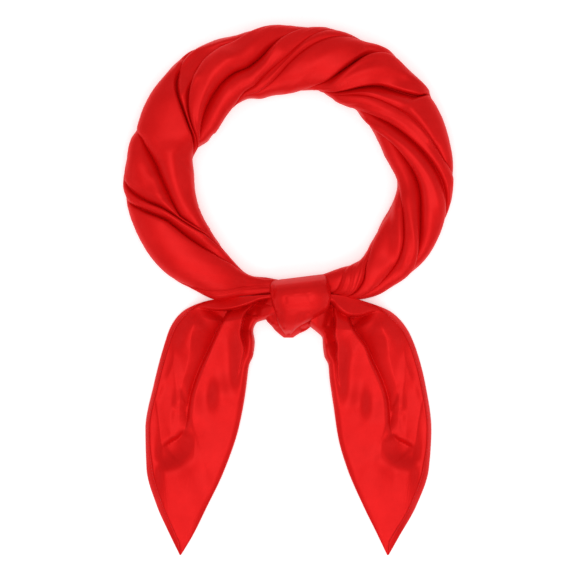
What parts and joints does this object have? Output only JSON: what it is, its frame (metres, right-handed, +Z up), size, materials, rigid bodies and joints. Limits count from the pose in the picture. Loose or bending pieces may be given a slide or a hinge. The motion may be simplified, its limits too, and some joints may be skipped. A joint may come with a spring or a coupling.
{
  "type": "rolled satin neckerchief tied in a ring",
  "caption": "Satin neckerchief rolled from its corner, twisted into a neck ring and tied in a front knot with two pointed tails, lying flat.",
  "frame": {"origin": "on the table, under the middle of the whole neckerchief's box as it lies", "axes": "+Z up from the table, -Y from the neck ring through the knot to the tails' tips, +X to the right seen from above"},
  "size_m": [0.2146, 0.3456, 0.0289],
  "materials": {
    "satin": "soft satin weave with a silky sheen",
    "hem": "double-turned satin hem with a row of matching stitches"
  },
  "bodies": {
    "root": {"neck_loop": "satin", "knot_wrap": "satin", "knot_core": "satin", "tail_left": "satin", "tail_right": "satin", "hem_left": "hem", "hem_right": "hem"}
  },
  "joints": []
}
